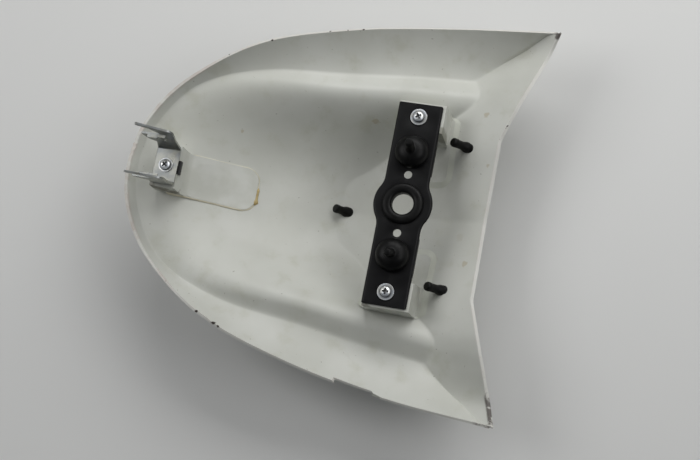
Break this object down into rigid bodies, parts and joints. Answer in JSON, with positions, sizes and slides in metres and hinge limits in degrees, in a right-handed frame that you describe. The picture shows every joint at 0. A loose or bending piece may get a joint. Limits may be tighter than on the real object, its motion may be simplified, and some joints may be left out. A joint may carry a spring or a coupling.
{
  "type": "seat cowl",
  "caption": "Motorcycle seat cowl with its inside up: a thin moulded shell with side ridges, a raised plate with rubber stops and a grommet, rubber pegs, and a forked tail bracket",
  "frame": {"origin": "centre of the grommet's bore, on the upper face of the mounting plate", "axes": "+X is the riding direction, towards the horns; +Z comes out of the open inside, so the cowl lies on its hump; +Y is the bike's right side"},
  "size_m": [0.293, 0.2856, 0.1129],
  "materials": {
    "shell": "matte moulding, used and lightly stained",
    "black_steel": "satin black coating",
    "zinc": "zinc plated",
    "rubber": "matte",
    "brass": "turned"
  },
  "bodies": {
    "root": {"cowl_shell": "shell", "tail_block": "shell", "tail_bracket": "zinc", "tail_clip_nut": "black_steel", "tail_washer": "zinc", "tail_screw": "zinc", "pedestal_right": "shell", "pedestal_left": "shell", "insert_right": "brass", "insert_left": "brass", "mount_plate": "black_steel", "centre_grommet": "rubber", "bump_stop_right": "rubber", "bump_stop_left": "rubber", "plate_washer_right": "zinc", "plate_washer_left": "zinc", "plate_screw_right": "zinc", "plate_screw_left": "zinc", "peg_right": "rubber", "peg_left": "rubber", "peg_centre": "rubber", "peg_spigots": "shell"}
  },
  "joints": []
}
